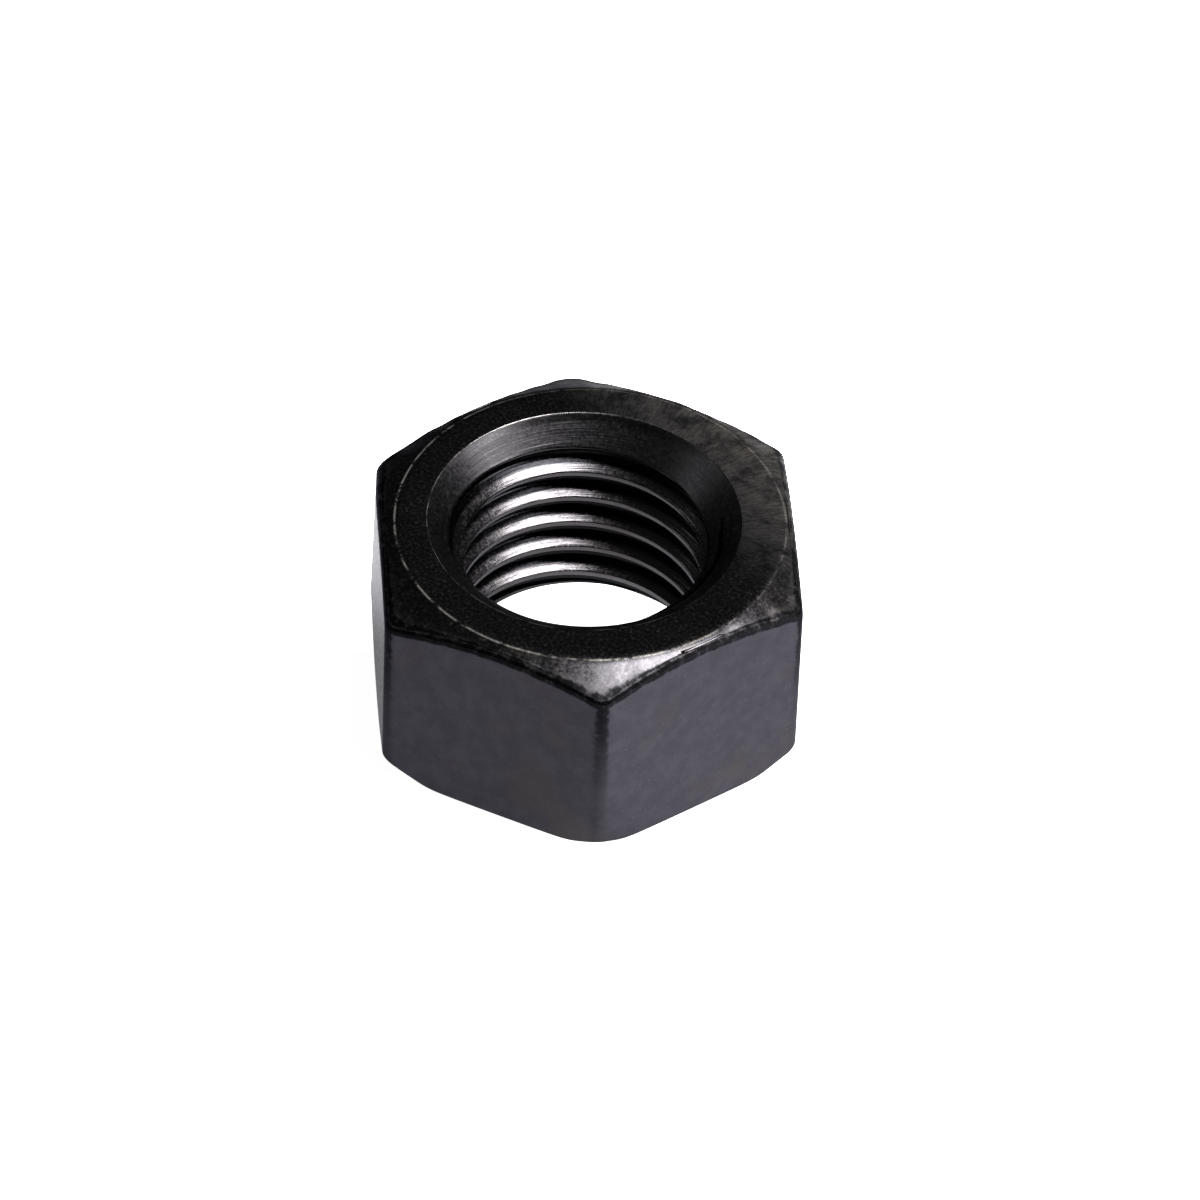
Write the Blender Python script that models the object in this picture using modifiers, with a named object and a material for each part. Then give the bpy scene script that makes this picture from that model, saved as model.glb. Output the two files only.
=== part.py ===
"""Plain hex nut for a 16 mm coarse-thread bolt, one solid piece of blackened steel.

The frame is in metres with +Z along the bore. The origin is the centre of the lower bearing face,
two opposite corners of the hexagon lie on the X axis, and two of its wrench flats face +Y and -Y.
"""

import math

import bmesh
import bpy

MM = 0.001

# Driving dimensions of the nut.
THREAD_DIAMETER = 16.0 * MM
PITCH = 2.0 * MM
ACROSS_FLATS = 24.0 * MM
HEIGHT = 13.0 * MM

# The thread's minor diameter is at the open end of its tolerance, as in a nut tapped for black finish.
MINOR_DIAMETER = 14.2 * MM
THREAD_FLANK = math.radians(30.0)
ROOT_WIDTH = PITCH / 8.0
THREAD_START = math.radians(342.0)

# Edges: rounded vertical corners, then a turned chamfer and a countersink at each end. Angles are from the face.
CORNER_RADIUS = 1.0 * MM
UPPER_BEARING_DIAMETER = 22.8 * MM
UPPER_CHAMFER_ANGLE = math.radians(27.0)
UPPER_COUNTERSINK_DIAMETER = 17.8 * MM
UPPER_COUNTERSINK_ANGLE = math.radians(45.0)
LOWER_BEARING_DIAMETER = 24.4 * MM
LOWER_CHAMFER_ANGLE = math.radians(40.0)
LOWER_COUNTERSINK_DIAMETER = 16.3 * MM
LOWER_COUNTERSINK_ANGLE = math.radians(30.0)

# Facets.
CORNER_SEGMENTS = 4
TURNED_SEGMENTS = 96
THREAD_SEGMENTS = 32
SHARP_EDGE = math.radians(20.0)

# How far cutters and envelopes run past the surfaces that they shape.
OVERRUN = 1.0 * MM
THREAD_OVERLAP = 0.25 * MM

BLACK_OXIDE = (0.030, 0.029, 0.033, 1.0)


def clear_scene():
    for old in list(bpy.data.objects):
        bpy.data.objects.remove(old, do_unlink=True)


def new_collection(name):
    collection = bpy.data.collections.new(name)
    bpy.context.scene.collection.children.link(collection)
    return collection


def place_in(obj, collection):
    for old in list(obj.users_collection):
        old.objects.unlink(obj)
    collection.objects.link(obj)
    return obj


def black_oxide_steel():
    material = bpy.data.materials.new("black_oxide_steel")
    material.use_nodes = True
    shader = material.node_tree.nodes["Principled BSDF"]
    shader.inputs["Base Color"].default_value = BLACK_OXIDE
    shader.inputs["Metallic"].default_value = 0.85
    shader.inputs["Roughness"].default_value = 0.42
    material.diffuse_color = BLACK_OXIDE
    return material


def hex_blank():
    """The bar of the hexagon, with its six upright edges rounded."""
    bpy.ops.mesh.primitive_cylinder_add(
        vertices=6,
        radius=ACROSS_FLATS / 2.0 / math.cos(math.pi / 6.0),
        depth=HEIGHT,
        location=(0.0, 0.0, HEIGHT / 2.0),
        rotation=(0.0, 0.0, math.pi / 6.0),
    )
    blank = bpy.context.object
    blank.name = "hex_nut"
    bpy.ops.object.transform_apply(location=True, rotation=True, scale=True)
    weights = blank.data.attributes.new("bevel_weight_edge", "FLOAT", "EDGE")
    for edge, weight in zip(blank.data.edges, weights.data):
        low, high = (blank.data.vertices[index].co for index in edge.vertices)
        weight.value = 1.0 if abs(high.z - low.z) > HEIGHT / 2.0 else 0.0
    bevel = blank.modifiers.new("rounded_corners", "BEVEL")
    bevel.limit_method = "WEIGHT"
    bevel.width = CORNER_RADIUS * math.tan(math.pi / 6.0)
    bevel.segments = CORNER_SEGMENTS
    return blank


def turned(name, profile, collection):
    """A solid of revolution about Z. The profile's (radius, height) points run from top to bottom."""
    mesh = bpy.data.meshes.new(name)
    edges = [(index, index + 1) for index in range(len(profile) - 1)]
    mesh.from_pydata([(radius, 0.0, height) for radius, height in profile], edges, [])
    solid = bpy.data.objects.new(name, mesh)
    collection.objects.link(solid)
    screw = solid.modifiers.new("turn", "SCREW")
    screw.axis = "Z"
    screw.steps = TURNED_SEGMENTS
    screw.render_steps = TURNED_SEGMENTS
    screw.use_merge_vertices = True
    screw.merge_threshold = 0.00001
    return solid


def chamfer_envelope(collection):
    """The double cone that the ends of the bar are turned down to."""
    upper_bearing = UPPER_BEARING_DIAMETER / 2.0
    lower_bearing = LOWER_BEARING_DIAMETER / 2.0
    outer = ACROSS_FLATS / 2.0 / math.cos(math.pi / 6.0) + OVERRUN
    profile = (
        (0.0, HEIGHT),
        (upper_bearing, HEIGHT),
        (outer, HEIGHT - (outer - upper_bearing) * math.tan(UPPER_CHAMFER_ANGLE)),
        (outer, (outer - lower_bearing) * math.tan(LOWER_CHAMFER_ANGLE)),
        (lower_bearing, 0.0),
        (0.0, 0.0),
    )
    return turned("chamfer_envelope", profile, collection)


def bore_cutter(collection):
    """The drilled bore at the thread's minor diameter, with a countersink in each mouth."""
    bore = MINOR_DIAMETER / 2.0
    upper_mouth = UPPER_COUNTERSINK_DIAMETER / 2.0
    lower_mouth = LOWER_COUNTERSINK_DIAMETER / 2.0
    profile = (
        (0.0, HEIGHT + OVERRUN),
        (upper_mouth + OVERRUN / math.tan(UPPER_COUNTERSINK_ANGLE), HEIGHT + OVERRUN),
        (bore, HEIGHT - (upper_mouth - bore) * math.tan(UPPER_COUNTERSINK_ANGLE)),
        (bore, (lower_mouth - bore) * math.tan(LOWER_COUNTERSINK_ANGLE)),
        (lower_mouth + OVERRUN / math.tan(LOWER_COUNTERSINK_ANGLE), -OVERRUN),
        (0.0, -OVERRUN),
    )
    return turned("bore_cutter", profile, collection)


def thread_cutter(collection):
    """The groove of a right-hand thread, swept along its helix past both faces of the nut."""
    root = THREAD_DIAMETER / 2.0
    inner = MINOR_DIAMETER / 2.0 - THREAD_OVERLAP
    half_root = ROOT_WIDTH / 2.0
    half_mouth = half_root + (root - inner) * math.tan(THREAD_FLANK)
    turns = math.ceil(HEIGHT / PITCH) + 1
    start = -PITCH
    section = (
        (inner, start - half_mouth),
        (root, start - half_root),
        (root, start + half_root),
        (inner, start + half_mouth),
    )
    across, up = math.cos(THREAD_START), math.sin(THREAD_START)
    mesh = bpy.data.meshes.new("thread_cutter")
    sweep = bmesh.new()
    corners = [sweep.verts.new((radius * across, radius * up, z)) for radius, z in section]
    face = sweep.faces.new(corners)
    bmesh.ops.spin(
        sweep,
        geom=[face, *face.edges, *face.verts],
        cent=(0.0, 0.0, 0.0),
        axis=(0.0, 0.0, 1.0),
        dvec=(0.0, 0.0, PITCH / THREAD_SEGMENTS),
        angle=turns * 2.0 * math.pi,
        steps=turns * THREAD_SEGMENTS,
    )
    bmesh.ops.recalc_face_normals(sweep, faces=sweep.faces)
    sweep.to_mesh(mesh)
    sweep.free()
    cutter = bpy.data.objects.new("thread_cutter", mesh)
    collection.objects.link(cutter)
    return cutter


def shape_with(target, tool, operation):
    boolean = target.modifiers.new(tool.name, "BOOLEAN")
    boolean.operation = operation
    boolean.solver = "EXACT"
    boolean.object = tool
    tool.hide_render = True
    tool.display_type = "WIRE"


def finish_surface(nut):
    """Settles the cuts into the mesh, then shades it smooth between its real edges."""
    bpy.context.view_layer.objects.active = nut
    for modifier in list(nut.modifiers):
        bpy.ops.object.modifier_apply(modifier=modifier.name)
    nut.data.materials.clear()
    nut.data.materials.append(black_oxide_steel())
    nut.data.shade_smooth()
    nut.data.set_sharp_from_angle(angle=SHARP_EDGE)


def build():
    clear_scene()
    nut_parts = new_collection("hex_nut")
    cutters = new_collection("cutters")
    nut = place_in(hex_blank(), nut_parts)
    shape_with(nut, chamfer_envelope(cutters), "INTERSECT")
    shape_with(nut, bore_cutter(cutters), "DIFFERENCE")
    shape_with(nut, thread_cutter(cutters), "DIFFERENCE")
    finish_surface(nut)


build()
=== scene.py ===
"""Looks of a plain hex nut in black oxide steel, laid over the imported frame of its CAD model.

The nut's skin is one closed mesh: turned rings and chamfers, a rounded hexagon, and a bore whose rows
climb along the thread's helix. Three node materials cover its flats, its turned ends and its bore.
Lengths are in metres. The frame is the CAD's: +Z along the bore, origin on the lower bearing face.
"""

import math

import bmesh
import bpy
import numpy as np
from mathutils import Matrix, Vector


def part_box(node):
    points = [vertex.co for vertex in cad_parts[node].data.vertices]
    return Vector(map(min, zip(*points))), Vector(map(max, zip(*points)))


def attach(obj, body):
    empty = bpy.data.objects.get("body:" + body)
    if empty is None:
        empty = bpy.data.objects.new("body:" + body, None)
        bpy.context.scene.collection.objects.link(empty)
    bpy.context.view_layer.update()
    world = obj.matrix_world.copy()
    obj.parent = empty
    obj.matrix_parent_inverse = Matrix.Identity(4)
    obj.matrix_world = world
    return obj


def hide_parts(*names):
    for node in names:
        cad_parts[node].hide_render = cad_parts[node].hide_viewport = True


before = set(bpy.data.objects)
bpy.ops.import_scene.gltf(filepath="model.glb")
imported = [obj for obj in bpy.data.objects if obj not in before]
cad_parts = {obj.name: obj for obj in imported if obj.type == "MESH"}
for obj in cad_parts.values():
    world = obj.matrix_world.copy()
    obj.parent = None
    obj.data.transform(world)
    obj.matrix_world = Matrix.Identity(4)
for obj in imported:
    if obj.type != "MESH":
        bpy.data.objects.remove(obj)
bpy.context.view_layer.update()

MM = 0.001

# Size of the nut, from the CAD node's own box.
box_low, box_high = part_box("hex_nut")
HEIGHT = box_high[2] - box_low[2]
HALF_WIDTH = (box_high[1] - box_low[1]) / 2.0

# Turned and forged shape.
CORNER_RADIUS = 1.0 * MM
UPPER_BEARING_RADIUS = 11.3 * MM
UPPER_CHAMFER_CENTRE = (0.14 * MM, 0.17 * MM)
UPPER_CHAMFER_ANGLE = math.radians(27.0)
UPPER_MOUTH_RADIUS = 9.08 * MM
UPPER_MOUTH_CENTRE = (-0.24 * MM, 0.18 * MM)
UPPER_THROAT_DEPTH = 0.40 * MM
UPPER_THROAT_RADIUS = 8.6 * MM
LOWER_BEARING_RADIUS = 12.0 * MM
LOWER_CHAMFER_CENTRE = (0.50 * MM, -0.75 * MM)
LOWER_CHAMFER_ANGLE = math.radians(40.0)
LOWER_MOUTH_RADIUS = 8.15 * MM
LOWER_THROAT_DEPTH = 0.06 * MM
LOWER_MOUTH_SLOPE = 1.0 / math.tan(math.radians(30.0))
BORE_CENTRE = (-0.33 * MM, 0.38 * MM)

# Thread.
PITCH = 2.0 * MM
MAJOR_RADIUS = 8.0 * MM
MINOR_RADIUS = 7.1 * MM
ROOT_WIDTH = 0.64 * MM
FLANK_SLOPE = 1.0 / math.tan(math.radians(30.0))
CREST_HEIGHT = 1.08 * MM
CREST_ROUNDING = 0.03 * MM
ROOT_ROUNDING = 0.10 * MM
RUN_OUT_ROUNDING = 0.06 * MM
CREST_EDGE_WIDTH = 0.07 * MM

# Heights of the bore's rows within one pitch, from the middle of the crest, closest together at the
# thread's edges.
THREAD_STATIONS = MM * np.array((
    -0.80, -0.68, -0.60, -0.42, -0.26, -0.18, -0.16, -0.14, 0.0,
    0.12, 0.15, 0.17, 0.20, 0.40, 0.60, 0.68, 0.80, 1.0,
))

# Edge rounding: how far each blend reaches to either side of its edge.
UPPER_RIM_REACH = 0.12 * MM
LOWER_RIM_REACH = 0.04 * MM
CHAMFER_REACH = 0.40 * MM
SHOULDER_REACH = 0.45 * MM
LOWER_REACH = 0.35 * MM

# The lower chamfer's rounding takes at most this share of its width. Where its circle misses the hexagon,
# a small edge is left, and the blend joins the two.
LOWER_REACH_SHARE = 0.45
LEAST_LOWER_EDGE = 0.10 * MM
LOWER_BLEND = 0.28 * MM

# One corner leans in towards its top, over a width given in radians.
LEANING_CORNER = math.pi
LEAN_WIDTH = 0.16
LEAN = 0.25 * MM

# The shoulder between upper chamfer and flats wanders up and down.
EDGE_WANDER = 0.05 * MM
EDGE_WAVES = range(9, 60)
EDGE_SEED = 11

# How far the upright edges' mask spreads to either side.
CORNER_SPREAD = math.radians(3.6)

# How strongly the blackening of an edge spreads over the strip that leads down to it.
APPROACH = 0.80

# Edges of the skin, counted from the upper rim outwards and down: which are rubbed bright, and which
# stays dark.
WORN_EDGES = (0, 1, 5)
SHOULDER = 2

# Mesh density, and how close points are when they are welded.
COLUMNS = 420
CORNER_CROWDING = 0.6
ARC_ROWS = 6
WELD_DISTANCE = 0.002 * MM

# Material slots of the skin.
FLATS, TURNED, BORE = range(3)

# The floor lies a hair below the nut, so that the two faces don't coincide.
FLOOR_HEIGHT = -0.02 * MM
FLOOR_REACH = 2.0

# Camera, as seen from the middle of the nut.
CAMERA_AZIMUTH = math.radians(24.36)
CAMERA_ELEVATION = math.radians(44.0)
CAMERA_ROLL = math.radians(2.29)
CAMERA_DISTANCE = 0.549
CAMERA_LENS = 284.0
SENSOR_WIDTH = 36.0
CAMERA_ASIDE = 0.93 * MM
CAMERA_RAISE = 0.25 * MM


def column_angles():
    """Directions of the mesh's columns, crowded towards the six corners."""
    even = np.arange(COLUMNS + 1) * 2.0 * np.pi / COLUMNS
    return even - CORNER_CROWDING * np.sin(6.0 * even) / 6.0


def angle_off_corner(angle):
    """How far each direction is from the nearest corner of the hexagon."""
    return np.abs((angle + np.pi / 6.0) % (np.pi / 3.0) - np.pi / 6.0)


def hexagon_radius(angle):
    """Distance from the axis to the side of the rounded hexagon, in each direction."""
    off_corner = angle_off_corner(angle)
    flat = HALF_WIDTH / np.cos(np.pi / 6.0 - off_corner)
    centre = (HALF_WIDTH - CORNER_RADIUS) / math.cos(math.pi / 6.0)
    inside = np.maximum(CORNER_RADIUS**2 - (centre * np.sin(off_corner)) ** 2, 0.0)
    arc = centre * np.cos(off_corner) + np.sqrt(inside)
    touch = math.pi / 6.0 - math.atan((HALF_WIDTH - CORNER_RADIUS) * math.tan(math.pi / 6.0) / HALF_WIDTH)
    return np.where(off_corner < touch, arc, flat)


def corner_closeness(angle):
    """1 on the six upright edges, falling to 0 a little way onto the flats."""
    return np.clip(1.0 - angle_off_corner(angle) / CORNER_SPREAD, 0.0, 1.0)


def ripple(angle, waves, seed):
    """An irregular wave round the nut, from -1 to 1, that meets itself after a turn."""
    chance = np.random.default_rng(seed)
    total = sum(chance.normal() * np.sin(wave * angle + chance.uniform(0.0, 2.0 * np.pi)) for wave in waves)
    return total / np.abs(total).max()


def off_centre(angle, radius, centre):
    """Distance from the axis to a circle that is a little off centre, in each direction."""
    return radius + centre[0] * np.cos(angle) + centre[1] * np.sin(angle)


def smooth_max(a, b, blend):
    """The larger of two values, with a rounded change from one to the other."""
    return (a + b + np.sqrt((a - b) ** 2 + blend**2)) / 2.0


def ring(angle, radius, height, centre=(0.0, 0.0)):
    """Points at a radius round a centre, all at one height or each at its own."""
    x = centre[0] + radius * np.cos(angle)
    y = centre[1] + radius * np.sin(angle)
    return np.stack((x, y, height + np.zeros_like(angle)), axis=1)


def toward(start, end):
    """Unit steps from the points of one row to those of another."""
    way = end - start
    return way / np.linalg.norm(way, axis=1, keepdims=True)


def rounded_rows(stops):
    """Rows of points from stop to stop.

    Each stop is (points, reach of its rounding, rows up to it, material). Gives the rows, for each row the
    number of its nearest edge and how close it is, and each strip's material.
    """
    rows, edge, slots = [stops[0][0]], [(0, 0.0)], []
    leave = stops[0][0]
    for number, (before, here, after) in enumerate(zip(stops, stops[1:], stops[2:])):
        points, reach, count, slot = here
        arrive = points + reach * toward(points, before[0])
        for step in range(1, count + 1):
            rows.append(leave + (arrive - leave) * step / count)
            edge.append((number, APPROACH * (step / count) ** 2))
            slots.append(slot)
        leave = points + reach * toward(points, after[0])
        for step in range(1, ARC_ROWS + 1):
            along = step / ARC_ROWS
            rows.append((1 - along) ** 2 * arrive + 2 * along * (1 - along) * points + along**2 * leave)
            edge.append((number, 4.0 * along * (1.0 - along)))
            slots.append(slot if along <= 0.5 else after[3])
    points, reach, count, slot = stops[-1]
    for step in range(1, count + 1):
        rows.append(leave + (points - leave) * step / count)
        edge.append((number, 0.0))
        slots.append(slot)
    return rows, edge, slots


def outer_skin(angle):
    """From the upper countersink outwards over ring, chamfer and flats, and back in below."""
    side = hexagon_radius(angle)
    upper_circle = off_centre(angle, UPPER_BEARING_RADIUS, UPPER_CHAMFER_CENTRE)
    upper_side = side - LEAN * np.exp(-(((angle - LEANING_CORNER) / LEAN_WIDTH) ** 2))
    upper_drop = (upper_side - upper_circle) * math.tan(UPPER_CHAMFER_ANGLE)
    upper = HEIGHT - upper_drop + EDGE_WANDER * ripple(angle, EDGE_WAVES, EDGE_SEED)
    lower_circle = off_centre(angle, LOWER_BEARING_RADIUS, LOWER_CHAMFER_CENTRE)
    lower_circle = side - smooth_max(side - lower_circle, LEAST_LOWER_EDGE, LOWER_BLEND)
    lower = (side - lower_circle) * math.tan(LOWER_CHAMFER_ANGLE)
    lower_width = np.hypot(side - lower_circle, lower)
    lower_reach = np.minimum(LOWER_REACH_SHARE * lower_width, LOWER_REACH)[:, None]
    upper_throat = ring(angle, UPPER_THROAT_RADIUS, HEIGHT - UPPER_THROAT_DEPTH, BORE_CENTRE)
    lower_throat_radius = LOWER_MOUTH_RADIUS - LOWER_THROAT_DEPTH * LOWER_MOUTH_SLOPE
    lower_throat = ring(angle, lower_throat_radius, LOWER_THROAT_DEPTH, BORE_CENTRE)
    stops = (
        (upper_throat, 0.0, 0, BORE),
        (ring(angle, UPPER_MOUTH_RADIUS, HEIGHT, UPPER_MOUTH_CENTRE), UPPER_RIM_REACH, 2, BORE),
        (ring(angle, upper_circle, HEIGHT), CHAMFER_REACH, 6, TURNED),
        (ring(angle, upper_side, upper), SHOULDER_REACH, 5, TURNED),
        (ring(angle, side, lower), lower_reach, 18, FLATS),
        (ring(angle, lower_circle, 0.0), lower_reach, 4, TURNED),
        (ring(angle, LOWER_MOUTH_RADIUS, 0.0, BORE_CENTRE), LOWER_RIM_REACH, 6, TURNED),
        (lower_throat, 0.0, 2, BORE),
    )
    return rounded_rows(stops)


def bore_skin(angle):
    """The threaded bore, in rows that climb one pitch in a turn, between the two countersinks.

    Gives the rows, then masks with a row of values for each: the crest's edges, the countersinks, and the
    depth into the thread.
    """
    turns = np.arange(-2, math.ceil(HEIGHT / PITCH) + 2)
    stations = (turns[:, None] * PITCH + THREAD_STATIONS[None, :]).ravel()
    helix = CREST_HEIGHT + PITCH * angle / (2.0 * np.pi)
    height = np.clip(stations[:, None] + helix[None, :], LOWER_THROAT_DEPTH, HEIGHT - UPPER_THROAT_DEPTH)
    off_crest = np.abs((height - helix[None, :] + PITCH / 2.0) % PITCH - PITCH / 2.0)
    half_crest = (PITCH - ROOT_WIDTH) / 2.0 - (MAJOR_RADIUS - MINOR_RADIUS) / FLANK_SLOPE
    flank = MINOR_RADIUS + (off_crest - half_crest) * FLANK_SLOPE
    thread = smooth_max(MINOR_RADIUS, flank, CREST_ROUNDING)
    thread = -smooth_max(-thread, -MAJOR_RADIUS, ROOT_ROUNDING)
    upper_cone = UPPER_THROAT_RADIUS + UPPER_THROAT_DEPTH - (HEIGHT - height)
    lower_cone = LOWER_MOUTH_RADIUS - height * LOWER_MOUTH_SLOPE
    cone = np.maximum(upper_cone, lower_cone)
    radius = smooth_max(thread, cone, RUN_OUT_ROUNDING)
    radius = np.where(height >= HEIGHT - UPPER_THROAT_DEPTH, upper_cone, radius)
    radius = np.where(height <= LOWER_THROAT_DEPTH, lower_cone, radius)
    rows = [ring(angle, *place, BORE_CENTRE) for place in zip(radius, height)]
    crest_edge = np.exp(-(((off_crest - half_crest) / CREST_EDGE_WIDTH) ** 2)) * (thread > cone)
    depth = np.where(cone > thread, 0.0, (thread - MINOR_RADIUS) / (MAJOR_RADIUS - MINOR_RADIUS))
    return rows, crest_edge, 1.0 * (cone > thread), depth


def skin_mesh():
    """One closed mesh, with masks for its materials.

    The masks are of worn edges, dark corners, countersinks, and the depth into the thread, which sets the
    painted shade in its roots.
    """
    angle = column_angles()
    outer_rows, outer_edge, outer_slots = outer_skin(angle)
    bore_rows, bore_edge, bore_cone, bore_depth = bore_skin(angle)
    per_row = COLUMNS + 1
    outer_size = per_row * len(outer_rows)
    points = np.concatenate(outer_rows + bore_rows)
    outer_worn = [closeness * (number in WORN_EDGES) for number, closeness in outer_edge]
    outer_dark = [closeness * (number == SHOULDER) for number, closeness in outer_edge]
    on_flats = [FLATS in outer_slots[max(row - 1, 0) : row + 1] for row in range(len(outer_rows))]
    upright = np.outer(on_flats, corner_closeness(angle)).ravel()
    corner = np.maximum(upright, np.repeat(outer_dark, per_row))
    starts = list(range(len(outer_rows) - 1))
    starts += list(range(len(outer_rows), len(outer_rows) + len(bore_rows) - 1))
    slots = outer_slots + [BORE] * (len(bore_rows) - 1)
    columns = np.arange(COLUMNS)
    quads = []
    for start in starts:
        low = start * per_row + columns
        quads.append(np.stack((low, low + 1, low + per_row + 1, low + per_row), axis=1))
    mesh = bpy.data.meshes.new("nut_surface")
    mesh.from_pydata(points.tolist(), [], np.concatenate(quads).tolist())
    mesh.polygons.foreach_set("material_index", np.repeat(slots, COLUMNS))
    masks = {
        "edge": np.concatenate([np.repeat(outer_worn, per_row), bore_edge.ravel()]),
        "corner": np.concatenate([corner, np.zeros(per_row * len(bore_rows))]),
        "cone": np.concatenate([np.ones(outer_size), bore_cone.ravel()]),
        "root": np.concatenate([np.zeros(outer_size), bore_depth.ravel()]),
    }
    for name, values in masks.items():
        mesh.attributes.new(name, "FLOAT", "POINT").data.foreach_set("value", values)
    skin = bmesh.new()
    skin.from_mesh(mesh)
    bmesh.ops.remove_doubles(skin, verts=skin.verts, dist=WELD_DISTANCE)
    bmesh.ops.recalc_face_normals(skin, faces=skin.faces)
    skin.to_mesh(mesh)
    skin.free()
    mesh.shade_smooth()
    return mesh


def add(tree, kind, inputs=None, **settings):
    """Adds a node. Each input is either a socket to link from or a plain value."""
    node = tree.nodes.new(kind)
    for name, value in settings.items():
        setattr(node, name, value)
    for name, value in (inputs or {}).items():
        if isinstance(value, bpy.types.NodeSocket):
            tree.links.new(value, node.inputs[name])
        else:
            node.inputs[name].default_value = value
    return node


def math_node(tree, operation, first, second=0.0, third=0.0, clamp=False):
    inputs = {0: first, 1: second, 2: third}
    return add(tree, "ShaderNodeMath", inputs, operation=operation, use_clamp=clamp).outputs[0]


def vector_node(tree, operation, inputs, output=0):
    return add(tree, "ShaderNodeVectorMath", inputs, operation=operation).outputs[output]


def distance_along(tree, place, direction):
    """How far a place lies in a direction from the axis."""
    return vector_node(tree, "DOT_PRODUCT", {0: place, 1: direction}, "Value")


def noise(tree, vector, scale, detail=3.0, roughness=0.55):
    inputs = {"Vector": vector, "Scale": scale, "Detail": detail, "Roughness": roughness}
    return add(tree, "ShaderNodeTexNoise", inputs).outputs["Fac"]


def rise(tree, value, low, high, to_low=0.0, to_high=1.0):
    """A smooth step from one level to another, as the value goes from low to high."""
    inputs = {"Value": value, "From Min": low, "From Max": high, "To Min": to_low, "To Max": to_high}
    return add(tree, "ShaderNodeMapRange", inputs, interpolation_type="SMOOTHSTEP").outputs["Result"]


def blend_colour(tree, factor, first, second):
    node = add(tree, "ShaderNodeMix", {0: factor}, data_type="RGBA")
    for index, colour in ((6, first), (7, second)):
        if isinstance(colour, bpy.types.NodeSocket):
            tree.links.new(colour, node.inputs[index])
        else:
            node.inputs[index].default_value = (*colour, 1.0)
    return node.outputs[2]


def millimetres(tree):
    """Object coordinates, in millimetres."""
    coords = add(tree, "ShaderNodeTexCoord").outputs["Object"]
    return vector_node(tree, "SCALE", {0: coords, "Scale": 1.0 / MM})


def attribute(tree, name):
    return add(tree, "ShaderNodeAttribute", attribute_name=name, attribute_type="GEOMETRY").outputs["Fac"]


def lathe_coordinates(tree, place, along_cut, across_cut):
    """Coordinates for marks round the axis, with one scale along a turning tool's path and one across it."""
    flat = vector_node(tree, "MULTIPLY", {0: place, 1: (1.0, 1.0, 0.0)})
    radius = vector_node(tree, "LENGTH", {0: flat}, "Value")
    turn = vector_node(tree, "NORMALIZE", {0: flat})
    turn = vector_node(tree, "SCALE", {0: turn, "Scale": along_cut})
    height = add(tree, "ShaderNodeSeparateXYZ", {0: place}).outputs["Z"]
    across = math_node(tree, "MULTIPLY", math_node(tree, "ADD", radius, height), across_cut)
    across = add(tree, "ShaderNodeCombineXYZ", {"Z": across}).outputs[0]
    return vector_node(tree, "ADD", {0: turn, 1: across})


def heading(degrees):
    """The level direction at an angle from +X."""
    return (math.cos(math.radians(degrees)), math.sin(math.radians(degrees)), 0.0)


# Colours of the oxide as a dark metal: what it reflects head on, and the tint of what it reflects at a low
# angle.
OXIDE_DARK = (0.033, 0.0312, 0.0385)
OXIDE_LIGHT = (0.040, 0.0382, 0.0465)
OXIDE_BROWN = (0.042, 0.038, 0.036)
OXIDE_RUBBED = (0.100, 0.096, 0.092)
OXIDE_SCUFFED = (0.032, 0.029, 0.023)
# The next colour darkens the countersinks as thicker oxide, and is also painted shade deep in the thread
# roots.
THICK_OXIDE_AND_ROOT_SHADE = (0.008, 0.008, 0.009)
BLACKEST_OXIDE = (0.003, 0.003, 0.0033)
BARE_STEEL = (0.20, 0.19, 0.175)
LOW_ANGLE_TINT = (0.50, 0.50, 0.52, 1.0)

# Directions from the axis to the scuffed part of the upper face, and to the part whose edges are rubbed most.
SCUFF_DIRECTION = heading(62.0)
WEAR_DIRECTION = heading(-125.0)

# Noises of the oxide: scale per millimetre, detail, and roughness where it isn't the usual.
MOTTLE_NOISE = (0.9, 5.0, 0.65)
SPECKLE_NOISE = (5.0, 4.0, 0.6)
PATCH_NOISE = (0.22, 3.0)
STREAK_NOISE = (1.0, 4.0, 0.75)
NICK_NOISE = (2.0, 5.0, 0.65)
CHIP_NOISE = (1.1, 5.0, 0.65)
STREAK_SCALES = (75.0, 1.5)

# Ramps that turn noises and masks into shares, each from one input to another. Two more numbers are the
# shares at its ends, where these aren't 0 and 1.
MOTTLE_RAMP = (0.35, 0.68)
BROWN_RAMP = (0.52, 0.72, 0.0, 0.6)
RUBBED_RAMP = (0.62, 0.74, 0.0, 0.4)
DUST_RAMP = (0.55, 0.75, 0.0, 0.08)
STREAK_RAMP = (0.26, 0.74, 0.16, 0.80)
SCUFF_MOTTLE_RAMP = (0.30, 0.60, 0.25, 1.0)
ROOT_SHADE_RAMP = (0.38, 0.62)
CORNER_RAMP = (0.10, 0.85)
BLACKENING_RAMP = (1.30, 1.90)
EDGE_RAMP = (0.90, 1.00)

# The same over a distance from the axis, in millimetres, and over a height.
SCUFF_SIDE_RAMP = (4.0, 11.5)
WEAR_SIDE_RAMP = (-8.0, 6.0, 0.30, 1.0)
BLACKENING_HEIGHTS = (3.0, 11.5)

# How much the nicks break up the blackening, how soon chips reach bare steel, how much the countersinks are
# blackened, how dull worn edges are, and how far the speckle lowers and raises the roughness.
NICK_GAIN = 1.8
CHIP_RAMP_WIDTH = 0.16
CONE_BLACKENING = 0.6
WORN_DULLNESS = 0.25
SPECKLE_ROUGHNESS = (-0.06, 0.08)


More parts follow.
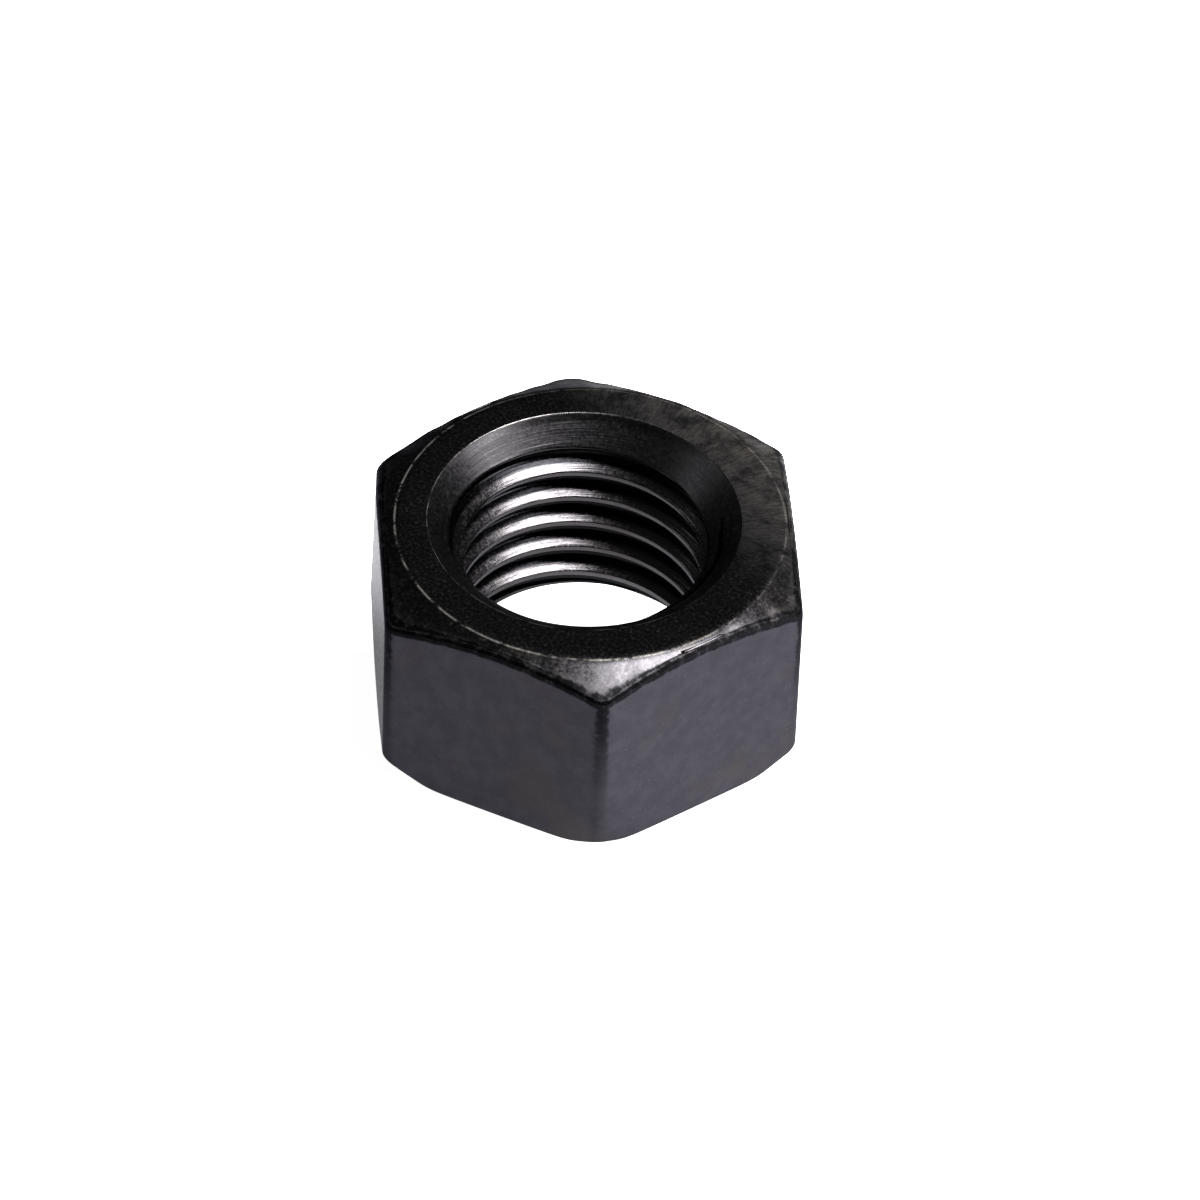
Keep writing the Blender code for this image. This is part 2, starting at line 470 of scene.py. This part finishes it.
def scuffs(tree, place, mottle):
    """How scuffed the upper face is: short marks across the turning, on one side of the nut."""
    streaks = noise(tree, lathe_coordinates(tree, place, *STREAK_SCALES), *STREAK_NOISE)
    side = distance_along(tree, place, SCUFF_DIRECTION)
    scuff = rise(tree, streaks, *STREAK_RAMP)
    scuff = math_node(tree, "MULTIPLY", scuff, rise(tree, side, *SCUFF_SIDE_RAMP))
    return math_node(tree, "MULTIPLY", scuff, rise(tree, mottle, *SCUFF_MOTTLE_RAMP))


def blackening(tree, place, corner, strength):
    """How black the oxide is along the shoulder and the upright edges: ragged, and fading downwards."""
    nicks = noise(tree, place, *NICK_NOISE)
    ragged = rise(tree, math_node(tree, "MULTIPLY_ADD", nicks, NICK_GAIN, corner), *BLACKENING_RAMP)
    height = add(tree, "ShaderNodeSeparateXYZ", {0: place}).outputs["Z"]
    return math_node(tree, "MULTIPLY", ragged, rise(tree, height, *BLACKENING_HEIGHTS, 0.0, strength))


def rubbing(tree, place, wear_start):
    """How far the edges are rubbed down to bare steel: in thin broken lines, most of it on one side."""
    chips = rise(tree, noise(tree, place, *CHIP_NOISE), wear_start, wear_start + CHIP_RAMP_WIDTH)
    worn = math_node(tree, "MULTIPLY", rise(tree, attribute(tree, "edge"), *EDGE_RAMP), chips)
    side = distance_along(tree, place, WEAR_DIRECTION)
    return math_node(tree, "MULTIPLY", worn, rise(tree, side, *WEAR_SIDE_RAMP))


def black_oxide(
    name, sheen, roughness, grain, marks, wear_start,
    corner_matt=0.0, corner_dark=0.0, cone_matt=0.0, scuffed=False,
):
    """Black oxide over steel: mottled colour, fine grain, machining marks, and bare metal on worn edges.

    grain is (scale, depth) and marks is (scale along the cut, scale across it, depth) or None.
    """
    material = bpy.data.materials.new(name)
    material.use_nodes = True
    tree = material.node_tree
    shader = tree.nodes["Principled BSDF"]
    place = millimetres(tree)
    mottle = noise(tree, place, *MOTTLE_NOISE)
    speckle = noise(tree, place, *SPECKLE_NOISE)
    patches = noise(tree, place, *PATCH_NOISE)

    dark = tuple(gain * part for gain, part in zip(sheen, OXIDE_DARK))
    light = tuple(gain * part for gain, part in zip(sheen, OXIDE_LIGHT))
    colour = blend_colour(tree, rise(tree, mottle, *MOTTLE_RAMP), dark, light)
    colour = blend_colour(tree, rise(tree, patches, *BROWN_RAMP), colour, OXIDE_BROWN)
    colour = blend_colour(tree, rise(tree, speckle, *RUBBED_RAMP), colour, OXIDE_RUBBED)
    dust = rise(tree, speckle, *DUST_RAMP)
    if scuffed:
        scuff = scuffs(tree, place, mottle)
        dust = math_node(tree, "MAXIMUM", dust, scuff)
        colour = blend_colour(tree, scuff, colour, OXIDE_SCUFFED)
    if cone_matt:
        cone = attribute(tree, "cone")
        colour = blend_colour(tree, math_node(tree, "MULTIPLY", cone, CONE_BLACKENING), colour, THICK_OXIDE_AND_ROOT_SHADE)
        # Painted shade: the thread roots darken with their depth, standing in for the shade deep in the
        # grooves.
        colour = blend_colour(tree, rise(tree, attribute(tree, "root"), *ROOT_SHADE_RAMP), colour, THICK_OXIDE_AND_ROOT_SHADE)
    corner = rise(tree, attribute(tree, "corner"), *CORNER_RAMP)
    if corner_dark:
        colour = blend_colour(tree, blackening(tree, place, corner, corner_dark), colour, BLACKEST_OXIDE)
    worn = rubbing(tree, place, wear_start)
    tree.links.new(blend_colour(tree, worn, colour, BARE_STEEL), shader.inputs["Base Color"])
    dust = math_node(tree, "MULTIPLY_ADD", worn, WORN_DULLNESS, dust, clamp=True)
    tree.links.new(math_node(tree, "SUBTRACT", 1.0, dust), shader.inputs["Metallic"])
    shader.inputs["Specular Tint"].default_value = LOW_ANGLE_TINT

    rough = rise(tree, speckle, 0.3, 0.7, *(roughness + change for change in SPECKLE_ROUGHNESS))
    rough = math_node(tree, "MULTIPLY_ADD", corner, corner_matt, rough)
    if cone_matt:
        rough = math_node(tree, "MULTIPLY_ADD", cone, cone_matt, rough)
    tree.links.new(rough, shader.inputs["Roughness"])

    grain_scale, grain_depth = grain
    fine = noise(tree, place, grain_scale, 4.0, 0.6)
    bump = add(tree, "ShaderNodeBump", {"Height": fine, "Strength": 1.0, "Distance": grain_depth}).outputs[0]
    if marks:
        along_cut, across_cut, mark_depth = marks
        cut = noise(tree, lathe_coordinates(tree, place, along_cut, across_cut), 1.0, 3.0)
        inputs = {"Height": cut, "Strength": 1.0, "Distance": mark_depth, "Normal": bump}
        bump = add(tree, "ShaderNodeBump", inputs).outputs[0]
    tree.links.new(bump, shader.inputs["Normal"])
    return material


def nut_materials():
    """The materials of the flats, the turned ends and the bore, in the order of their slots."""
    flats = black_oxide(
        "black_oxide_flats",
        sheen=(1.06, 1.06, 1.06),
        roughness=0.36,
        grain=(6.0, 0.016 * MM),
        marks=None,
        wear_start=0.60,
        corner_matt=0.25,
        corner_dark=0.85,
    )
    turned = black_oxide(
        "black_oxide_turned",
        sheen=(0.80, 0.80, 0.70),
        roughness=0.25,
        grain=(3.0, 0.005 * MM),
        marks=(3.0, 3.0, 0.006 * MM),
        wear_start=0.38,
        corner_matt=0.2,
        corner_dark=1.0,
        scuffed=True,
    )
    bore = black_oxide(
        "black_oxide_bore",
        sheen=(1.74, 1.72, 1.48),
        roughness=0.21,
        grain=(6.0, 0.002 * MM),
        marks=(1.2, 5.0, 0.022 * MM),
        wear_start=0.50,
        cone_matt=0.12,
    )
    return flats, turned, bore


def make_nut():
    nut = bpy.data.objects.new("nut_surface", skin_mesh())
    bpy.context.scene.collection.objects.link(nut)
    for material in nut_materials():
        nut.data.materials.append(material)
    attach(nut, "root")
    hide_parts("hex_nut")


def way_to(bearing, elevation):
    """The direction at a bearing, counted from -Y towards +X, and at a height above the horizon."""
    return Vector((
        math.sin(bearing) * math.cos(elevation),
        -math.cos(bearing) * math.cos(elevation),
        math.sin(elevation),
    ))


def view_axes():
    """Unit vectors from the nut towards the camera, to its right and up its picture."""
    back = way_to(CAMERA_AZIMUTH, CAMERA_ELEVATION)
    right = Vector((0.0, 0.0, 1.0)).cross(back).normalized()
    up = back.cross(right)
    turned_right = right * math.cos(CAMERA_ROLL) + up * math.sin(CAMERA_ROLL)
    turned_up = up * math.cos(CAMERA_ROLL) - right * math.sin(CAMERA_ROLL)
    return back, turned_right, turned_up


def make_camera():
    back, right, up = view_axes()
    middle = Vector((0.0, 0.0, HEIGHT / 2.0))
    place = middle + back * CAMERA_DISTANCE + right * CAMERA_ASIDE + up * CAMERA_RAISE
    data = bpy.data.cameras.new("camera")
    data.lens = CAMERA_LENS
    data.sensor_width = SENSOR_WIDTH
    data.clip_start = 0.01
    data.clip_end = 20.0
    camera = bpy.data.objects.new("camera", data)
    turn = Matrix((right, up, back)).transposed().to_4x4()
    camera.matrix_world = Matrix.Translation(place) @ turn
    bpy.context.scene.collection.objects.link(camera)
    bpy.context.scene.camera = camera


def soft_light(name, aside, elevation, distance, width, depth, power):
    """A rectangular soft light, turned to the nut. aside is its angle to the camera's right, in degrees."""
    way = way_to(CAMERA_AZIMUTH + math.radians(aside), math.radians(elevation))
    data = bpy.data.lights.new(name, "AREA")
    data.shape = "RECTANGLE"
    data.size = width
    data.size_y = depth
    data.energy = power
    light = bpy.data.objects.new(name, data)
    light.location = way * distance
    light.rotation_euler = way.to_track_quat("Z", "Y").to_euler()
    bpy.context.scene.collection.objects.link(light)


# Painted light on the floor panel's glow: how it brightens along one direction, how it fades with the
# distance from the nut, and how a painted pool of light near the nut is brighter, for the nut's faces to
# reflect. Each ramp is from one distance to another, in millimetres, and then its levels at the two where
# they aren't 0 and 1.
PANEL_DIRECTION = heading(24.36)
PANEL_RISE = (-6.0, 10.0, 0.98, 2.4)
PANEL_FADE = (64.0, 100.0, 1.0, 0.25)
PAINTED_POOL_DIRECTION = heading(125.0)
PAINTED_POOL_START = (4.0, 14.0)
PAINTED_POOL_END = (24.0, 44.0, 1.0, 0.0)
PAINTED_POOL_GAIN = 2.6


def painted_light_panel():
    """Glowing white floor with painted light: brighter to one side and near the nut, and no shadow of the
    nut.
    """
    panel = bpy.data.materials.new("painted_light_panel")
    panel.use_nodes = True
    tree = panel.node_tree
    shader = tree.nodes["Principled BSDF"]
    shader.inputs["Base Color"].default_value = (0.10, 0.10, 0.10, 1.0)
    shader.inputs["Roughness"].default_value = 0.9
    shader.inputs["Specular IOR Level"].default_value = 0.0
    shader.inputs["Emission Color"].default_value = (1.0, 1.0, 1.0, 1.0)
    place = millimetres(tree)
    distance = vector_node(tree, "LENGTH", {0: place}, "Value")
    # Painted light: the glow rises along one side, fades away from the nut, and gains a brighter pool near
    # it.
    glow = rise(tree, distance_along(tree, place, PANEL_DIRECTION), *PANEL_RISE)
    glow = math_node(tree, "MULTIPLY", glow, rise(tree, distance, *PANEL_FADE))
    painted_pool = rise(tree, distance_along(tree, place, PAINTED_POOL_DIRECTION), *PAINTED_POOL_START)
    painted_pool = math_node(tree, "MULTIPLY", painted_pool, rise(tree, distance, *PAINTED_POOL_END))
    glow = math_node(tree, "MULTIPLY", glow, math_node(tree, "MULTIPLY_ADD", painted_pool, PAINTED_POOL_GAIN, 1.0))
    tree.links.new(glow, shader.inputs["Emission Strength"])
    return panel


# Each light's name, angles aside and up in degrees, distance, width, depth and power.
LIGHTS = (
    ("top_light", 82.0, 69.0, 0.8, 0.40, 0.40, 20.0),
    ("side_light", 72.0, 20.0, 0.9, 0.50, 0.45, 12.0),
    ("left_card", -92.0, 28.0, 0.6, 0.20, 0.25, 0.30),
)
WORLD_STRENGTH = 0.06


def make_studio():
    for light in LIGHTS:
        soft_light(*light)
    world = bpy.data.worlds.new("studio")
    world.use_nodes = True
    background = world.node_tree.nodes["Background"]
    background.inputs["Color"].default_value = (1.0, 1.0, 1.0, 1.0)
    background.inputs["Strength"].default_value = WORLD_STRENGTH
    bpy.context.scene.world = world
    bpy.context.scene.view_settings.view_transform = "Standard"

    floor_mesh = bpy.data.meshes.new("floor")
    corners = [(-1, -1), (1, -1), (1, 1), (-1, 1)]
    points = [(FLOOR_REACH * x, FLOOR_REACH * y, FLOOR_HEIGHT) for x, y in corners]
    floor_mesh.from_pydata(points, [], [(0, 1, 2, 3)])
    floor_mesh.materials.append(painted_light_panel())
    floor = bpy.data.objects.new("floor", floor_mesh)
    bpy.context.scene.collection.objects.link(floor)


make_nut()
make_camera()
make_studio()
